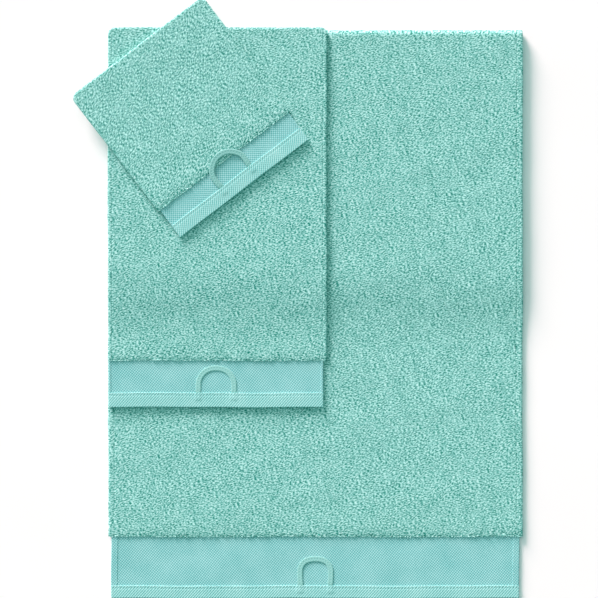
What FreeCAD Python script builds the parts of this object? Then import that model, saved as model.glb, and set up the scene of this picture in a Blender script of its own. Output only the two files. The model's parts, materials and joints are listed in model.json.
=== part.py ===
import FreeCAD, Part
import math
import os
from collections import namedtuple

# Bath towel set: a bath towel with its head end folded under, a hand towel laid on it with the left
# edges flush, and a washcloth laid askew on top. Each one is a thick pile cloth with a flat twill
# border and a turned hem at its foot, narrow turned hems on the other three sides, and a hanging
# loop sewn under the foot hem.
#
# Each towel is built in its own frame, in mm: x from the left edge of the pile, y from the foot hem's
# lower edge towards the head, z up from the underside. The set is then moved so that its origin is
# the centre of its footprint, on the floor, with +Y towards the heads of the two larger towels.

Vec = FreeCAD.Vector
X_AXIS = Vec(1, 0, 0)
Z_AXIS = Vec(0, 0, 1)
INCH = 25.4

# Cloth
PILE_THICKNESS = 8.0
WEAVE_THICKNESS = 2.4
HEM_THICKNESS = 6.0
SIDE_BAND_THICKNESS = 4.0
WEAVE_LEVEL = 3.4  # middle of the flat weave, the foot hem and the side bands, above the underside
LAYER_GAP = 0.6  # between the two layers of the folded bath towel
LAID_GAP = 0.6  # under each towel that lies on another

# Lay of the bath towel: its head end is folded under, and the front layer ramps down beyond the flap
BATH_SHOWN_LENGTH = 1045.0
RAMP_LENGTH = 150.0
LAYER_RISE = PILE_THICKNESS + LAYER_GAP

# Places of the towels that lie on the bath towel, in its frame
HAND_FOOT_Y = 351.5
WASHCLOTH_CENTRE = Vec(152.0, 883.5, 0)
WASHCLOTH_TURN = 37.2  # degrees, the foot hem rising to the right

# Hanging loops, of flattened tubular strap
STRAP_WIDTH = 9.0
STRAP_THICKNESS = 5.0
STRAP_END_LENGTH = 14.0
STRAP_END_THICKNESS = 1.7
STRAP_END_COVER = 0.8  # cloth of the hem above the sewn-in ends
LOOP_CLEARANCE = 0.3  # between a lying loop and the cloth below it
LEG_START = 1.2  # from the hem's edge to the foot of each leg
LOOP_AXIS_LIFT = 0.9  # the hinge axis above the strap's middle, so that the loop folds over the hem
ARC_SHARE = 0.45  # share of the shorter run that each arc of a loop takes up
LEG_POINT = 0.4  # place of the leg's extra point, as a share of the leg's height
LEG_SPLAY = 1.2  # how far a long leg leans in at its foot

# Stitches
STITCH_WIDTH = 1.2
STITCH_HEIGHT = 0.9
HEM_STITCH_PROUD = 0.3
SEAM_STITCH_PROUD = 0.1  # drawn down into the pile
STITCH_FILL = 0.65  # stitch length as a share of its pitch
HEM_STITCH_PITCH = 6.4
SEAM_STITCH_PITCH = 8.0
STITCH_INSET = 1.6  # from the stitched edge to the middle of the stitches

Towel = namedtuple(
    "Towel",
    "name width length foot_hem border left_inset right_inset side_hem side_band head_hem corner"
    " loop_width loop_height loop_over_pile",
)

BATH = Towel(
    name="bath",
    width=30 * INCH,
    length=58 * INCH,
    foot_hem=23.0,
    border=91.0,
    left_inset=5.5,
    right_inset=5.9,
    side_hem=12.0,
    side_band=12.0,
    head_hem=14.0,
    corner=9.0,
    loop_width=64.0,
    loop_height=53.0,
    loop_over_pile=False,
)
HAND = Towel(
    name="hand",
    width=402.0,
    length=697.5,
    foot_hem=26.7,
    border=60.0,
    left_inset=1.0,
    right_inset=6.0,
    side_hem=8.0,
    side_band=5.0,
    head_hem=14.0,
    corner=12.0,
    loop_width=75.0,
    loop_height=50.0,
    loop_over_pile=False,
)
WASHCLOTH = Towel(
    name="washcloth",
    width=12 * INCH,
    length=327.0,
    foot_hem=26.7,
    border=36.0,
    left_inset=4.3,
    right_inset=4.3,
    side_hem=8.0,
    side_band=4.5,
    head_hem=14.0,
    corner=13.0,
    loop_width=77.0,
    loop_height=55.0,
    loop_over_pile=True,
)

# Worked out from the above
WEAVE_TOP = WEAVE_LEVEL + WEAVE_THICKNESS / 2
HEM_TOP = WEAVE_LEVEL + HEM_THICKNESS / 2
BAND_TOP = WEAVE_LEVEL + SIDE_BAND_THICKNESS / 2
STRAP_LEVEL = WEAVE_TOP + LOOP_CLEARANCE + STRAP_THICKNESS / 2
LOOP_AXIS_LEVEL = STRAP_LEVEL + LOOP_AXIS_LIFT
FOLD_RADIUS = PILE_THICKNESS + LAYER_GAP / 2
FOLD_Y = BATH_SHOWN_LENGTH - FOLD_RADIUS
FOLD_LENGTH = math.pi * (PILE_THICKNESS + LAYER_GAP) / 2  # along the middle of the cloth
FLAP_END_Y = FOLD_Y - (BATH.length - FOLD_Y - FOLD_LENGTH)
RAMP_FOOT_Y = FLAP_END_Y - RAMP_LENGTH
HAND_BASE = PILE_THICKNESS + LAID_GAP
WASHCLOTH_BASE = LAYER_RISE + HAND_BASE + PILE_THICKNESS + LAID_GAP


def base_height(y, ramp):
    """How far the ramp, whose foot is at y = ramp, has lifted the cloth's underside at y."""
    if ramp is None or y <= ramp:
        return 0.0
    if y >= ramp + RAMP_LENGTH:
        return LAYER_RISE
    half = RAMP_LENGTH / 2
    radius = ramp_radius()
    if y <= ramp + half:
        return radius - math.sqrt(radius**2 - (y - ramp) ** 2)
    return LAYER_RISE - radius + math.sqrt(radius**2 - (ramp + RAMP_LENGTH - y) ** 2)


def ramp_radius():
    """Radius of the ramp's two equal arcs, which meet halfway up."""
    half = RAMP_LENGTH / 2
    rise = LAYER_RISE / 2
    return (half**2 + rise**2) / (2 * rise)


def side_line(y0, y1, z, ramp):
    """Edges of a cloth surface seen from the side, from y0 to y1, over the ramp if it lies between."""
    if ramp is None or y1 <= ramp or y0 >= ramp + RAMP_LENGTH:
        lift = base_height(y0, ramp)
        return [Part.makeLine(Vec(0, y0, z + lift), Vec(0, y1, z + lift))]
    stations = [ramp + RAMP_LENGTH * quarter / 4 for quarter in range(5)]
    foot, low, middle, high, head = [Vec(0, y, z + base_height(y, ramp)) for y in stations]
    return [
        Part.makeLine(Vec(0, y0, z), foot),
        Part.Arc(foot, low, middle).toShape(),
        Part.Arc(middle, high, head).toShape(),
        Part.makeLine(head, Vec(0, y1, z + LAYER_RISE)),
    ]


def upright(y, z0, z1, ramp):
    """The end edge of a cloth layer at y."""
    lift = base_height(y, ramp)
    return Part.makeLine(Vec(0, y, z0 + lift), Vec(0, y, z1 + lift))


def layer(x0, x1, y0, y1, z0, z1, ramp=None):
    """A single layer of cloth between two side edges, following the ramp."""
    edges = side_line(y0, y1, z0, ramp)
    edges.append(upright(y1, z0, z1, ramp))
    edges.extend(reversed(side_line(y0, y1, z1, ramp)))
    edges.append(upright(y0, z0, z1, ramp))
    face = Part.Face(Part.Wire(edges))
    solid = face.extrude(X_AXIS * (x1 - x0))
    solid.translate(X_AXIS * x0)
    return solid


def folded_layer(x0, x1, y0, flap_y):
    """The bath towel's pile cloth: up the ramp, round the fold and back underneath to flap_y."""
    inner = LAYER_GAP / 2
    middle = PILE_THICKNESS + inner
    edges = side_line(y0, FOLD_Y, 0, RAMP_FOOT_Y)
    edges.append(
        Part.Arc(
            Vec(0, FOLD_Y, middle + inner),
            Vec(0, FOLD_Y + inner, middle),
            Vec(0, FOLD_Y, middle - inner),
        ).toShape()
    )
    edges.append(Part.makeLine(Vec(0, FOLD_Y, PILE_THICKNESS), Vec(0, flap_y, PILE_THICKNESS)))
    edges.append(Part.makeLine(Vec(0, flap_y, PILE_THICKNESS), Vec(0, flap_y, 0)))
    edges.append(Part.makeLine(Vec(0, flap_y, 0), Vec(0, FOLD_Y, 0)))
    edges.append(
        Part.Arc(
            Vec(0, FOLD_Y, 0),
            Vec(0, FOLD_Y + FOLD_RADIUS, middle),
            Vec(0, FOLD_Y, 2 * middle),
        ).toShape()
    )
    edges.extend(reversed(side_line(y0, FOLD_Y, PILE_THICKNESS, RAMP_FOOT_Y)))
    edges.append(upright(y0, 0, PILE_THICKNESS, RAMP_FOOT_Y))
    solid = Part.Face(Part.Wire(edges)).extrude(X_AXIS * (x1 - x0))
    solid.translate(X_AXIS * x0)
    return solid


def round_corners(solid, ys, radius):
    """Rounds the upright corner edges of a solid at the given y values."""
    corners = [
        edge
        for edge in solid.Edges
        if abs(edge.tangentAt(edge.FirstParameter).z) > 0.99
        and any(abs(edge.CenterOfMass.y - y) < 0.01 for y in ys)
    ]
    return solid.makeFillet(radius, corners)


def pile_foot(towel):
    """Where the flat border ends and the pile starts."""
    return towel.foot_hem + towel.border


def pile_cloth(towel, x0, x1, ramp):
    """A strip of the pile cloth between x0 and x1, from the border to the head hem."""
    if towel is BATH:
        return folded_layer(x0, x1, pile_foot(towel), FLAP_END_Y + towel.head_hem)
    return layer(
        x0, x1, pile_foot(towel), towel.length - towel.head_hem, 0, PILE_THICKNESS, ramp
    )


def border(towel):
    """The flat twill weave between the side bands, from the foot hem to the pile."""
    left = towel.left_inset + towel.side_band
    right = towel.width - towel.right_inset - towel.side_band
    bottom = WEAVE_TOP - WEAVE_THICKNESS
    return layer(left, right, towel.foot_hem, pile_foot(towel), bottom, WEAVE_TOP)


def end_hem(towel):
    """The turned foot hem, with pockets for the sewn-in ends of the loop."""
    right = towel.width - towel.right_inset
    bottom = HEM_TOP - HEM_THICKNESS
    hem = layer(towel.left_inset, right, 0, towel.foot_hem, bottom, HEM_TOP)
    hem = round_corners(hem, [0], HEM_THICKNESS)
    return hem.cut(Part.makeCompound(loop_ends(towel)))


def side_hem(towel, on_left, ramp):
    """A side hem: thick beside the pile, and a thin band beside the flat border."""
    pile_left = 0 if on_left else towel.width - towel.side_hem
    band_left = towel.left_inset
    if not on_left:
        band_left = towel.width - towel.right_inset - towel.side_band
    foot = pile_foot(towel)
    beside_pile = pile_cloth(towel, pile_left, pile_left + towel.side_hem, ramp)
    beside_border = layer(
        band_left,
        band_left + towel.side_band,
        towel.foot_hem,
        foot,
        BAND_TOP - SIDE_BAND_THICKNESS,
        BAND_TOP,
    )
    return beside_pile.fuse(beside_border)


def head_hem(towel, ramp):
    """The narrow hem turned under at the head end, with the towel's rounded corners."""
    if towel is BATH:
        end, start = FLAP_END_Y, FLAP_END_Y + towel.head_hem
        hem = layer(0, towel.width, end, start, 0, PILE_THICKNESS)
    else:
        end, start = towel.length, towel.length - towel.head_hem
        hem = layer(0, towel.width, start, end, 0, PILE_THICKNESS, ramp)
    return round_corners(hem, [end], towel.corner)


def stitch(x, y, top, length, along_x):
    """One stitch, whose upper side is at the height top."""
    size_x, size_y = (length, STITCH_WIDTH) if along_x else (STITCH_WIDTH, length)
    corner = Vec(x - size_x / 2, y - size_y / 2, top - STITCH_HEIGHT)
    return Part.makeBox(size_x, size_y, STITCH_HEIGHT, corner)


def places(start, end, pitch):
    """Middles of a row of stitches at about that pitch, which fills the length evenly."""
    count = max(1, round((end - start) / pitch))
    step = (end - start) / count
    return [start + step * (number + 0.5) for number in range(count)]


def hem_stitches(towel):
    """The row of stitches along the upper edge of the foot hem."""
    right = towel.width - towel.right_inset
    y = towel.foot_hem - STITCH_INSET
    length = HEM_STITCH_PITCH * STITCH_FILL
    row = places(towel.left_inset + STITCH_INSET, right - STITCH_INSET, HEM_STITCH_PITCH)
    return [stitch(x, y, HEM_TOP + HEM_STITCH_PROUD, length, True) for x in row]


def side_stitches(towel, ramp):
    """The rows of stitches that close the two side hems, seen on the upper face."""
    length = SEAM_STITCH_PITCH * STITCH_FILL
    head = FOLD_Y if towel is BATH else towel.length - towel.head_hem
    stitches = []
    for edge, inset, inward in ((0, towel.left_inset, 1), (towel.width, towel.right_inset, -1)):
        seam = edge + inward * (towel.side_hem - STITCH_INSET)
        band_seam = edge + inward * (inset + towel.side_band - STITCH_INSET)
        for y in places(towel.foot_hem, pile_foot(towel), SEAM_STITCH_PITCH):
            stitches.append(stitch(band_seam, y, BAND_TOP + HEM_STITCH_PROUD, length, False))
        for y in places(pile_foot(towel), head, SEAM_STITCH_PITCH):
            top = PILE_THICKNESS + base_height(y, ramp) + SEAM_STITCH_PROUD
            stitches.append(stitch(seam, y, top, length, False))
    return stitches


def head_stitches(towel, ramp):
    """The row of stitches that closes the head hem."""
    length = SEAM_STITCH_PITCH * STITCH_FILL
    y = towel.length - towel.head_hem + STITCH_INSET
    top = PILE_THICKNESS + base_height(y, ramp) + SEAM_STITCH_PROUD
    if towel is BATH:
        y = FLAP_END_Y + towel.head_hem - STITCH_INSET
        top = PILE_THICKNESS + SEAM_STITCH_PROUD
    row = places(towel.side_hem, towel.width - towel.side_hem, SEAM_STITCH_PITCH)
    return [stitch(x, y, top, length, True) for x in row]


def loop_centre(towel):
    """The middle of the foot hem, where the loop is sewn in."""
    return (towel.left_inset + towel.width - towel.right_inset) / 2


def loop_half_width(towel):
    """From the loop's middle to the middle of each leg."""
    return (towel.loop_width - STRAP_WIDTH) / 2


def loop_ends(towel):
    """The strap's two flattened ends, sewn in under the hem's upper layer."""
    top = HEM_TOP - STRAP_END_COVER
    foot = towel.foot_hem - STRAP_END_LENGTH
    reach = loop_half_width(towel) - leg_splay(towel)
    ends = []
    for middle in (loop_centre(towel) - reach, loop_centre(towel) + reach):
        left = middle - STRAP_WIDTH / 2
        right = middle + STRAP_WIDTH / 2
        ends.append(layer(left, right, foot, towel.foot_hem, top - STRAP_END_THICKNESS, top))
    return ends


def loop_shape(towel):
    """Half width of the arch, height of its crown, and reach of its eight-sided outline's corners."""
    half = loop_half_width(towel)
    crown = towel.loop_height - STRAP_WIDTH / 2
    return half, crown, half * math.tan(math.radians(22.5))


def leg_splay(towel):
    """How far the legs lean in at the foot: a short leg goes straight into the arch."""
    half, crown, corner = loop_shape(towel)
    return LEG_SPLAY if crown - half + corner > 2 * corner else 0.0


def loop_route(towel):
    """The loop's middle line in its own plane: up one leg, round a half circle, down the other."""
    half, crown, corner = loop_shape(towel)
    shoulder = crown - half + corner
    splay = leg_splay(towel)
    rise = [Vec(-half + splay, LEG_START, 0)]
    if splay:
        rise.append(Vec(-half, shoulder * LEG_POINT, 0))
    rise += [Vec(-half, shoulder, 0), Vec(-corner, crown, 0)]
    return rise + [Vec(-point.x, point.y, 0) for point in reversed(rise)]


def strap_section(point, direction):
    """The strap's flat, round-edged section, square to the direction of the route."""
    side = Z_AXIS.cross(direction)
    round_radius = STRAP_THICKNESS / 2
    flat = side * (STRAP_WIDTH / 2 - round_radius)
    up = Z_AXIS * round_radius
    bulge = side * (STRAP_WIDTH / 2)
    edges = [
        Part.makeLine(point - flat + up, point + flat + up),
        Part.Arc(point + flat + up, point + bulge, point + flat - up).toShape(),
        Part.makeLine(point + flat - up, point - flat - up),
        Part.Arc(point - flat - up, point - bulge, point - flat + up).toShape(),
    ]
    return Part.Face(Part.Wire(edges))


def strap_along(route, name):
    """A strap along straight runs joined by tangent arcs, in the plane of the route."""
    runs = [end - start for start, end in zip(route, route[1:])]
    ways = [Vec(run).normalize() for run in runs]
    turns = [math.atan2(a.cross(b).z, a.dot(b)) for a, b in zip(ways, ways[1:])]
    trims = [ARC_SHARE * min(a.Length, b.Length) for a, b in zip(runs, runs[1:])]
    radii = [trim / math.tan(abs(turn) / 2) for trim, turn in zip(trims, turns)]
    print(name, "arc radii, mm:", ", ".join(f"{radius:.1f}" for radius in radii))
    pieces = []
    total = 0.0
    for number, way in enumerate(ways):
        start = route[number]
        if number > 0:
            start = start + way * trims[number - 1]
        end = route[number + 1]
        if number < len(turns):
            end = end - way * trims[number]
        pieces.append(strap_section(start, way).extrude(end - start))
        total += (end - start).Length
        if number < len(turns):
            turn = turns[number]
            centre = end + Z_AXIS.cross(way) * math.copysign(radii[number], turn)
            arc = strap_section(end, way).revolve(centre, Z_AXIS, math.degrees(turn))
            pieces.append(arc)
            total += radii[number] * abs(turn)
    strap = pieces[0].multiFuse(pieces[1:]).removeSplitter()
    section = strap_section(route[0], ways[0]).Area
    share = strap.Volume / (section * total)
    print(name, f"length {total:.1f} mm, volume is {share:.4f} of section times length")
    return strap


def loop_tilt(towel):
    """Degrees that the loop leans up from the border, so that a long loop clears the pile's edge."""
    if not towel.loop_over_pile:
        return 0.0
    rise = PILE_THICKNESS + LOOP_CLEARANCE - (WEAVE_TOP + LOOP_CLEARANCE)
    reach = towel.border - STRAP_THICKNESS / 2
    return math.degrees(math.atan2(rise, reach))


def loop(towel):
    """The hanging loop, lying back over the border from the hem's upper edge."""
    strap = strap_along(loop_route(towel), towel.name + " loop")
    strap.rotate(Vec(0, 0, -STRAP_THICKNESS / 2), X_AXIS, loop_tilt(towel))
    strap.translate(Vec(loop_centre(towel), towel.foot_hem, STRAP_LEVEL))
    return strap


def loop_hinge(towel):
    """A point on the line that the loop turns about, above the hem's upper edge."""
    return Vec(loop_centre(towel), towel.foot_hem, LOOP_AXIS_LEVEL)


def loop_gap(towel):
    """The middle of the gap inside the loop."""
    return Vec(loop_centre(towel), towel.foot_hem + (towel.loop_height - STRAP_WIDTH) / 2, STRAP_LEVEL)


def towel_pieces(towel, ramp):
    """Every piece of one towel in its own frame, by name."""
    left = towel.side_hem
    right = towel.width - towel.side_hem
    pieces = {
        "pile": pile_cloth(towel, left, right, ramp),
        "border": border(towel),
        "end_hem": end_hem(towel),
        "hem_stitches": Part.makeCompound(hem_stitches(towel)),
        "left_side_hem": side_hem(towel, True, ramp),
        "right_side_hem": side_hem(towel, False, ramp),
        "side_stitches": Part.makeCompound(side_stitches(towel, ramp)),
        "head_hem": head_hem(towel, ramp),
        "head_stitches": Part.makeCompound(head_stitches(towel, ramp)),
        "loop": loop(towel),
        "loop_ends": Part.makeCompound(loop_ends(towel)),
    }
    return {f"{towel.name}_{part}": shape for part, shape in pieces.items()}


def placement(towel):
    """Where a towel's own frame lies in the bath towel's frame."""
    if towel is HAND:
        return FreeCAD.Placement(Vec(0, HAND_FOOT_Y, HAND_BASE), FreeCAD.Rotation())
    if towel is WASHCLOTH:
        turn = FreeCAD.Rotation(Z_AXIS, WASHCLOTH_TURN)
        own_centre = Vec(towel.width / 2, towel.length / 2, 0)
        foot = WASHCLOTH_CENTRE - turn.multVec(own_centre)
        return FreeCAD.Placement(foot + Z_AXIS * WASHCLOTH_BASE, turn)
    return FreeCAD.Placement()


def build():
    """All pieces of the set in one frame, and each towel's placement in it."""
    ramps = {BATH: RAMP_FOOT_Y, HAND: RAMP_FOOT_Y - HAND_FOOT_Y, WASHCLOTH: None}
    shapes = {}
    for towel, ramp in ramps.items():
        for name, shape in towel_pieces(towel, ramp).items():
            shape.Placement = placement(towel).multiply(shape.Placement)
            shapes[name] = shape
    box = Part.makeCompound(list(shapes.values())).BoundBox
    to_origin = Vec(-box.Center.x, -box.Center.y, -box.ZMin)
    for shape in shapes.values():
        shape.translate(to_origin)
    shift = FreeCAD.Placement(to_origin, FreeCAD.Rotation())
    return shapes, {towel: shift.multiply(placement(towel)) for towel in ramps}


def main():
    os.makedirs("parts", exist_ok=True)
    shapes, placements = build()
    for name, shape in shapes.items():
        if not shape.isValid():
            raise ValueError(f"{name} is not a valid shape")
        shape.exportStep(f"parts/{name}.step")
    for towel, placed in placements.items():
        for words, point in (("hinge", loop_hinge(towel)), ("gap", loop_gap(towel))):
            place = placed.multVec(point)
            print(towel.name, words, f"{place.x:.3f} {place.y:.3f} {place.z:.3f}")
    box = Part.makeCompound(list(shapes.values())).BoundBox
    print(f"size {box.XLength:.1f} x {box.YLength:.1f} x {box.ZLength:.1f} mm")


main()
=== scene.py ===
import json
import math
from collections import namedtuple

import bpy
import numpy as np
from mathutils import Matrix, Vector


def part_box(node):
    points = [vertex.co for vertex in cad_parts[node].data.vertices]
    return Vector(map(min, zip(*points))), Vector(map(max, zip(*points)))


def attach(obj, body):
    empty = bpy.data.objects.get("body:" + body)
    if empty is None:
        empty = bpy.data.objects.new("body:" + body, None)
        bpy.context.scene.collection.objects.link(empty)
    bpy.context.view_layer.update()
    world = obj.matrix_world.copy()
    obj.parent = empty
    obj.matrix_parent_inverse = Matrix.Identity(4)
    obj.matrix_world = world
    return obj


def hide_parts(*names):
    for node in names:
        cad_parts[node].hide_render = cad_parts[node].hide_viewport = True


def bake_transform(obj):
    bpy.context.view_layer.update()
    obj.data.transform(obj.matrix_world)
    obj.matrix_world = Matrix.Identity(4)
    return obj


# Bath towel set: a bath towel with its head end folded under, a hand towel laid on it and a washcloth
# laid askew on top. Each towel is made in its own cloth coordinates, in mm: x from the left edge of
# the pile, s along the cloth from the foot hem's lower edge towards the head, h up from the
# underside. place() lays those coordinates on the floor, up the ramp and round the fold, and turns
# them into metres. The cloth coordinates are also the pieces' UV map, which the weave and pile of
# the materials follow.

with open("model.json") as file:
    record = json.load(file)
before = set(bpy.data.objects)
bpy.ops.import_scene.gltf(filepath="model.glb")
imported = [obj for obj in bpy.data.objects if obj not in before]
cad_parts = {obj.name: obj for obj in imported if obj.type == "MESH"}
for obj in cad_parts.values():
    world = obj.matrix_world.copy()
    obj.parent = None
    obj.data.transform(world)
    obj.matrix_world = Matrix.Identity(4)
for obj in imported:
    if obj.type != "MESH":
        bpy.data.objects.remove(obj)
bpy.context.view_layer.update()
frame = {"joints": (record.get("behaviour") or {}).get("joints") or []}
JOINTS = {joint["name"]: joint for joint in frame["joints"]}

MM = 0.001

# Cloth, in mm, as the solids have it
PILE_THICKNESS = 8.0
WEAVE_THICKNESS = 2.4
HEM_THICKNESS = 6.0
BAND_THICKNESS = 4.0
WEAVE_LEVEL = 3.4  # middle of the flat weave, the foot hem and the side bands
LAYER_GAP = 0.6
RAMP_LENGTH = 150.0
BATH_SHOWN_LENGTH = 1045.0
STITCH_INSET = 1.6
HEM_STITCH_PITCH = 6.4
SEAM_STITCH_PITCH = 8.0

# Hanging loops, in mm
STRAP_THICKNESS = 5.0  # of the solid strap
STRAP_END_THICKNESS = 1.7
PRESSED_THICKNESS = 1.8  # of the strap's cloth as it lies pressed flat, inside its solid
PRESSED_WIDTH = 9.8
SIDE_POWER = 0.75  # how square the pressed strap's sides are: 1 is an ellipse, 0 a box
TOP_POWER = 0.6
VALLEY_SHARE = 0.2  # depth of the groove along its top, as a share of its thickness
VALLEY_WIDTH = 1.5
LOOP_CLEARANCE = 0.3
LOOP_AXIS_LIFT = 0.9
LEG_START = 1.2  # where a leg has come up level, from the hem's upper edge
LEG_POINT = 0.4  # where a leg has straightened, as a share of its height
LEG_SPLAY = 1.2  # how much closer a long loop's legs are at the hem
STRAP_END_REACH = 9.0  # how far the strap runs in under the hem's upper layer
STRAP_END_DEPTH = 1.6  # of its ends' middle below the hem's top
STRAP_RISE_START = -1.0  # where the strap starts to come up from under the hem
STRAP_FULL_START = -0.5  # where it starts to thicken from its flat ends
STRAP_FULL_LENGTH = 3.0
STRAP_SIDES = 28
STRAP_ROUND = 3.6  # mm of thread pattern to a radian round the strap
SPLINE_STEPS = 14

Towel = namedtuple(
    "Towel",
    "name body joint width length foot_hem border left_inset right_inset side_hem side_band"
    " head_hem corner loop_width loop_height loop_flatness loop_over_pile grid strap_length seed",
)
BATH = Towel(
    name="bath",
    body="bath_towel",
    joint="bath_loop_swing",
    width=762.0,
    length=1473.2,
    foot_hem=23.0,
    border=91.0,
    left_inset=5.5,
    right_inset=5.9,
    side_hem=12.0,
    side_band=12.0,
    head_hem=14.0,
    corner=9.0,
    loop_width=66.5,
    loop_height=54.0,
    loop_flatness=0.54,
    loop_over_pile=False,
    grid=2.8,
    strap_length=0.1536,
    seed=11,
)
HAND = Towel(
    name="hand",
    body="hand_towel",
    joint="hand_loop_swing",
    width=402.0,
    length=697.5,
    foot_hem=26.7,
    border=60.0,
    left_inset=1.0,
    right_inset=6.0,
    side_hem=8.0,
    side_band=5.0,
    head_hem=14.0,
    corner=12.0,
    loop_width=75.5,
    loop_height=50.0,
    loop_flatness=0.45,
    loop_over_pile=False,
    grid=1.9,
    strap_length=0.147,
    seed=23,
)
WASHCLOTH = Towel(
    name="washcloth",
    body="washcloth",
    joint="washcloth_loop_swing",
    width=304.8,
    length=327.0,
    foot_hem=26.7,
    border=36.0,
    left_inset=4.3,
    right_inset=4.3,
    side_hem=8.0,
    side_band=4.5,
    head_hem=14.0,
    corner=13.0,
    loop_width=77.0,
    loop_height=55.0,
    loop_flatness=0.41,
    loop_over_pile=True,
    grid=1.3,
    strap_length=0.159,
    seed=37,
)

# Worked out from the above, in mm
WEAVE_TOP = WEAVE_LEVEL + WEAVE_THICKNESS / 2
HEM_TOP = WEAVE_LEVEL + HEM_THICKNESS / 2
BAND_TOP = WEAVE_LEVEL + BAND_THICKNESS / 2
STRAP_LEVEL = WEAVE_TOP + LOOP_CLEARANCE + STRAP_THICKNESS / 2
LOOP_AXIS_LEVEL = STRAP_LEVEL + LOOP_AXIS_LIFT
LAYER_RISE = PILE_THICKNESS + LAYER_GAP
FOLD_CENTRE_LEVEL = PILE_THICKNESS + LAYER_GAP / 2
FOLD_Y = BATH_SHOWN_LENGTH - FOLD_CENTRE_LEVEL
FOLD_MIDDLE_RADIUS = LAYER_RISE / 2
FOLD_LENGTH = math.pi * FOLD_MIDDLE_RADIUS

# Camera and floor, in metres
CAMERA_HEIGHT = 8.0
VIEW_SIDE = 1.101
VIEW_CENTRE_X = 0.0014
SENSOR_WIDTH = 0.036
FLOOR_HALF_SIDE = 30.0
FLOOR_LEVEL = -0.0005

# Colours round the set, each with the sine of the elevation where it starts or ends
BACKDROP = (0.1, (1.0, 1.0, 1.0))
SKY = (0.2, (0.2, 0.42, 0.39))

# towards is a sun's direction on the floor, elevation and spread are in degrees, and on_floor is
# the brightness that it gives a level white surface
Sun = namedtuple("Sun", "name towards elevation spread on_floor colour")
SUNS = (
    Sun("key", (-0.5, 0.87), 17.5, 23.0, 0.64, (1.0, 0.72, 0.75)),
    Sun("overhead", (-0.3, 0.6), 58.0, 50.0, 0.22, (1.0, 0.8, 0.82)),
)

# Unevenness of the cloth as a whole
SWELL_HEIGHT = 0.9  # mm
SWELL_WAVES = ((31, 17, 0.4), (-19, 43, 2.1), (67, 11, 4.0), (23, -71, 1.2))  # radians to a metre
EDGE_WAVER = 0.7  # mm
SHORT_WAVER_SHARE = 0.6
WAVERS_ASIDE = (61, 23)  # mm to a radian, of a long and a short wave
WAVERS_ALONG = (57, 21)

# Pile, in mm
TUFT_PITCH = 4.4
TUFT_DEPTH = 0.4
TUFT_MIDDLE = 0.75  # tuft height, from 0 to 1, that lies level with the solid
LOW_TUFT = 0.55  # height of the shortest tuft, from 0 to 1, and what the tallest has on top of it
TALL_TUFT_GAIN = 0.45
TUFT_FALL = 0.8  # how fast a tuft falls off round its tip
TUFT_REPEAT = 256  # tufts before the pattern comes again
PILE_RAGGED = 0.28  # how far the pile's points are moved about, as a share of their grid
HEAD_RAGGED = 0.25
FOOT_DROP = 1.2  # the pile is shorter along its foot edge
FOOT_DROP_REACH = 7.0
FOOT_TUFT_GAIN = 2.0  # and its tufts are deeper there
FOOT_TUFT_REACH = 12.0

# Weave, in mm
RIB_PITCH = 3.7
RIB_HEIGHT = 0.22
BORDER_RIB_SHARE = 0.4
BORDER_CROSS_SHARE = 0.6
BORDER_RISE = 0.9  # of the border towards the pile
BORDER_RISE_REACH = 6.0
STITCH_GROOVE = (0.3, 0.0, 0.9)  # depth, place below the stitches and width
FOLD_GROOVE = (0.4, 3.5, 1.0)
PUCKER = 0.3
PUCKER_REACH = 6.0
STRAP_BULGE = 0.8  # of the hem over the strap's ends
STRAP_BULGE_HALF_WIDTH = 6.0
STRAP_BULGE_REACH = 12.0
BORDER_RIB_ANGLE = -38.0  # degrees from x: the ribs fall to the right
BORDER_CROSS_ANGLE = 52.0
HEM_RIB_ANGLE = 48.0  # the reverse face, so the ribs rise to the right
HEM_CROSS_ANGLE = -40.0

# Edges and seams, in mm
WEAVE_GRID = 1.1
EDGE_GRID = 1.9  # coarsest grid of the side hems
EDGE_STEPS = 6  # points across a rounded edge
COARSE_STEP = 6  # out of sight, one row of the grid in this many is kept
LOW_ROUND_SHARE = 0.3  # of a side's round, where the underside's outer line lies
LOW_EDGE_SHARE = 0.7  # of half the thickness, at that line
CORNER_FULLNESS = 0.97  # 1 would be a full quarter circle, which ends too steeply for the grid
SEAM_ROUND = 2.4
SEAM_OVERLAP = 1.7  # bands of pile run into each other at a seam, which leaves a shallow groove
PILE_FOOT_ROUND = 3.0
PILE_FOOT_LAP = 0.6  # of the pile over the border
HEM_LAP = 1.0  # of the border in under the foot hem
PILE_LAP = 2.0  # of the border in under the pile
BAND_LAP = 0.5  # of the border in under its side bands
WEAVE_ROUND = 0.5
BAND_OUTER_ROUND = 1.6
BAND_INNER_ROUND = 1.0
HEM_ROUNDS = (1.6, 1.6, 1.2, 1.0)
EDGE_FULLNESS = 2.8  # power of the curve that a rounded edge follows; 2 is a quarter circle
FOLD_MARGIN = 30.0  # of fine grid past the fold

# Stitches, in mm
STITCH_WIDTH = 1.3
STITCH_HEIGHT = 1.1
STITCH_NARROWING = 0.5  # towards the ends, of the width and of the height
STITCH_FLATTENING = 0.4
STITCH_DIP = 0.75
STITCH_LEAN = 0.05
STITCH_UNEVENNESS = 0.08
HEM_STITCH_SHARE = 0.74  # of the pitch that a stitch fills
SEAM_STITCH_SHARE = 0.65
HEM_STITCH_SINK = 0.15
BAND_STITCH_SINK = 0.1
SEAM_STITCH_SINK = 1.5
TUBE_SIDES = 6

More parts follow.
